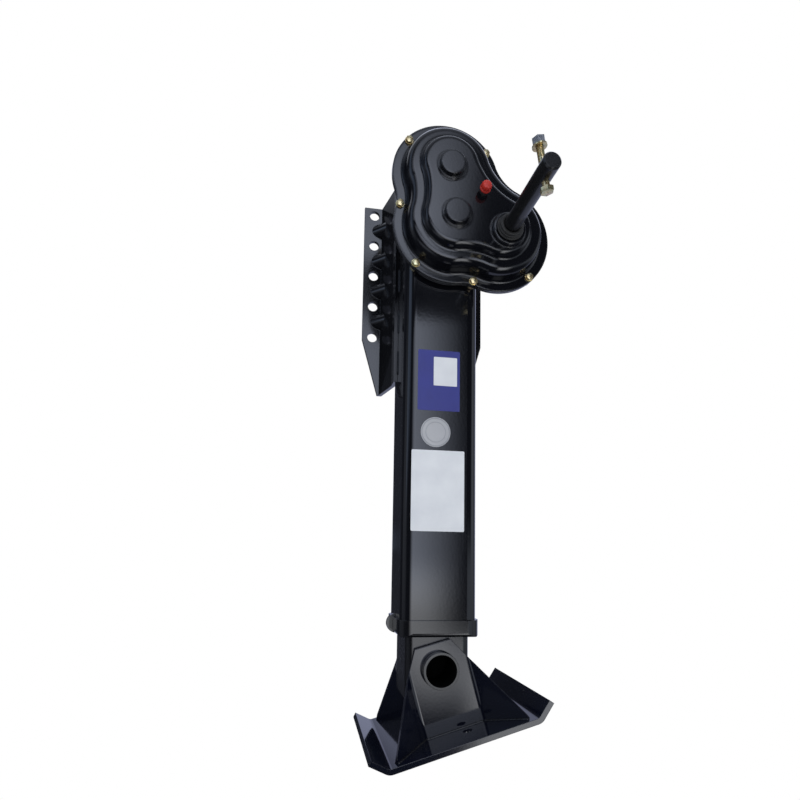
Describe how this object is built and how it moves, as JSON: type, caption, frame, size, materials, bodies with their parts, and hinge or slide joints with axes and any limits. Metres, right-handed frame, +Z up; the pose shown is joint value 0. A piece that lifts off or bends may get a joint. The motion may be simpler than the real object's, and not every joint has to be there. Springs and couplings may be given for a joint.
{
  "type": "semi trailer landing gear",
  "caption": "Geared semi trailer landing leg: square telescoping tube, wing brackets, lobed gearbox with crank stub, and a rocking foot.",
  "frame": {"origin": "on the mounting face of the wing brackets, at the middle of the bolt pattern", "axes": "+X to the right as seen from the gearbox side, +Y inboard out of the mounting face, +Z up"},
  "size_m": [0.2832, 0.391, 0.9829],
  "materials": {
    "black_paint": "glossy black paint",
    "seal_rubber": "matte moulded rubber",
    "yellow_zinc": "yellow zinc plated steel",
    "bronze": "turned bronze",
    "bare_steel": "machined and greased steel",
    "bright_steel": "bright zinc plated steel",
    "red_plastic": "moulded red plastic"
  },
  "bodies": {
    "housing": {"outer_tube": "black_paint", "bottom_collar": "black_paint", "left_bracket": "black_paint", "right_bracket": "black_paint", "top_cap": "black_paint", "gear_case": "black_paint", "cover_gasket": "seal_rubber", "gear_cover": "black_paint", "cover_bolts": "yellow_zinc", "cover_nuts": "yellow_zinc", "crank_case_bush": "bronze", "crank_cover_bush": "bronze", "crank_boot": "seal_rubber", "vent_base": "bare_steel", "vent_cap": "red_plastic", "side_clip": "black_paint", "clip_bolt": "yellow_zinc", "bearing_plate": "bare_steel", "thrust_race_upper": "bare_steel", "output_front_bush": "bronze", "output_rear_bush": "bronze", "output_nose_bush": "bronze", "idler_pin": "bare_steel"},
    "screw": {"lead_screw": "bare_steel", "thrust_race_lower": "bare_steel", "thrust_balls": "bright_steel", "bevel_gear": "bare_steel", "screw_nut": "yellow_zinc", "screw_stop": "bare_steel"},
    "inner_leg": {"inner_tube": "black_paint", "nut_plate": "bare_steel", "lift_nut": "bronze", "axle_tube": "black_paint"},
    "foot": {"foot_plate_front": "black_paint", "foot_plate_rear": "black_paint", "sole_pan": "black_paint"},
    "output": {"output_shaft": "bare_steel", "bevel_pinion": "bare_steel", "output_gear": "bare_steel"},
    "idler": {"idler_gear": "bare_steel", "idler_pinion": "bare_steel"},
    "crank_drive": {"crank_pinion": "bare_steel"},
    "crank": {"crank_shaft": "black_paint", "crank_bolt": "yellow_zinc", "crank_nut": "bright_steel", "crank_washer": "yellow_zinc"}
  },
  "joints": [
    {"name": "screw_spin", "type": "hinge", "parent": "housing", "child": "screw", "pos_m": [0, -0.107, 0], "axis": [0, 0, 1], "range_deg": [0, 15480]},
    {"name": "leg_extend", "type": "slide", "parent": "housing", "child": "inner_leg", "axis": [0, 0, -1], "range_m": [0, 0.43001]},
    {"name": "foot_tilt", "type": "hinge", "parent": "inner_leg", "child": "foot", "pos_m": [0, -0.107, -0.683], "axis": [0, 1, 0], "range_deg": [-4.1, 35.9]},
    {"name": "output_spin", "type": "hinge", "parent": "housing", "child": "output", "pos_m": [0, -0.107, 0.08], "axis": [0, 1, 0], "range_deg": [-30960, 0]},
    {"name": "idler_spin", "type": "hinge", "parent": "housing", "child": "idler", "pos_m": [0.008, -0.107, 0.00291], "axis": [0, 1, 0], "range_deg": [0, 65790]},
    {"name": "crank_spin", "type": "hinge", "parent": "housing", "child": "crank_drive", "pos_m": [0.08974, -0.107, -0.01509], "axis": [0, 1, 0], "range_deg": [-131580, 0]},
    {"name": "crank_shift", "type": "slide", "parent": "crank_drive", "child": "crank", "axis": [0, 1, 0], "range_m": [0, 0.028]}
  ],
  "couplings": [
    {"joint": "leg_extend", "follows": "screw_spin", "m_per_rad": 0.0015915},
    {"joint": "output_spin", "follows": "screw_spin", "ratio": -2},
    {"joint": "idler_spin", "follows": "screw_spin", "ratio": 4.25},
    {"joint": "crank_spin", "follows": "screw_spin", "ratio": -8.5}
  ]
}
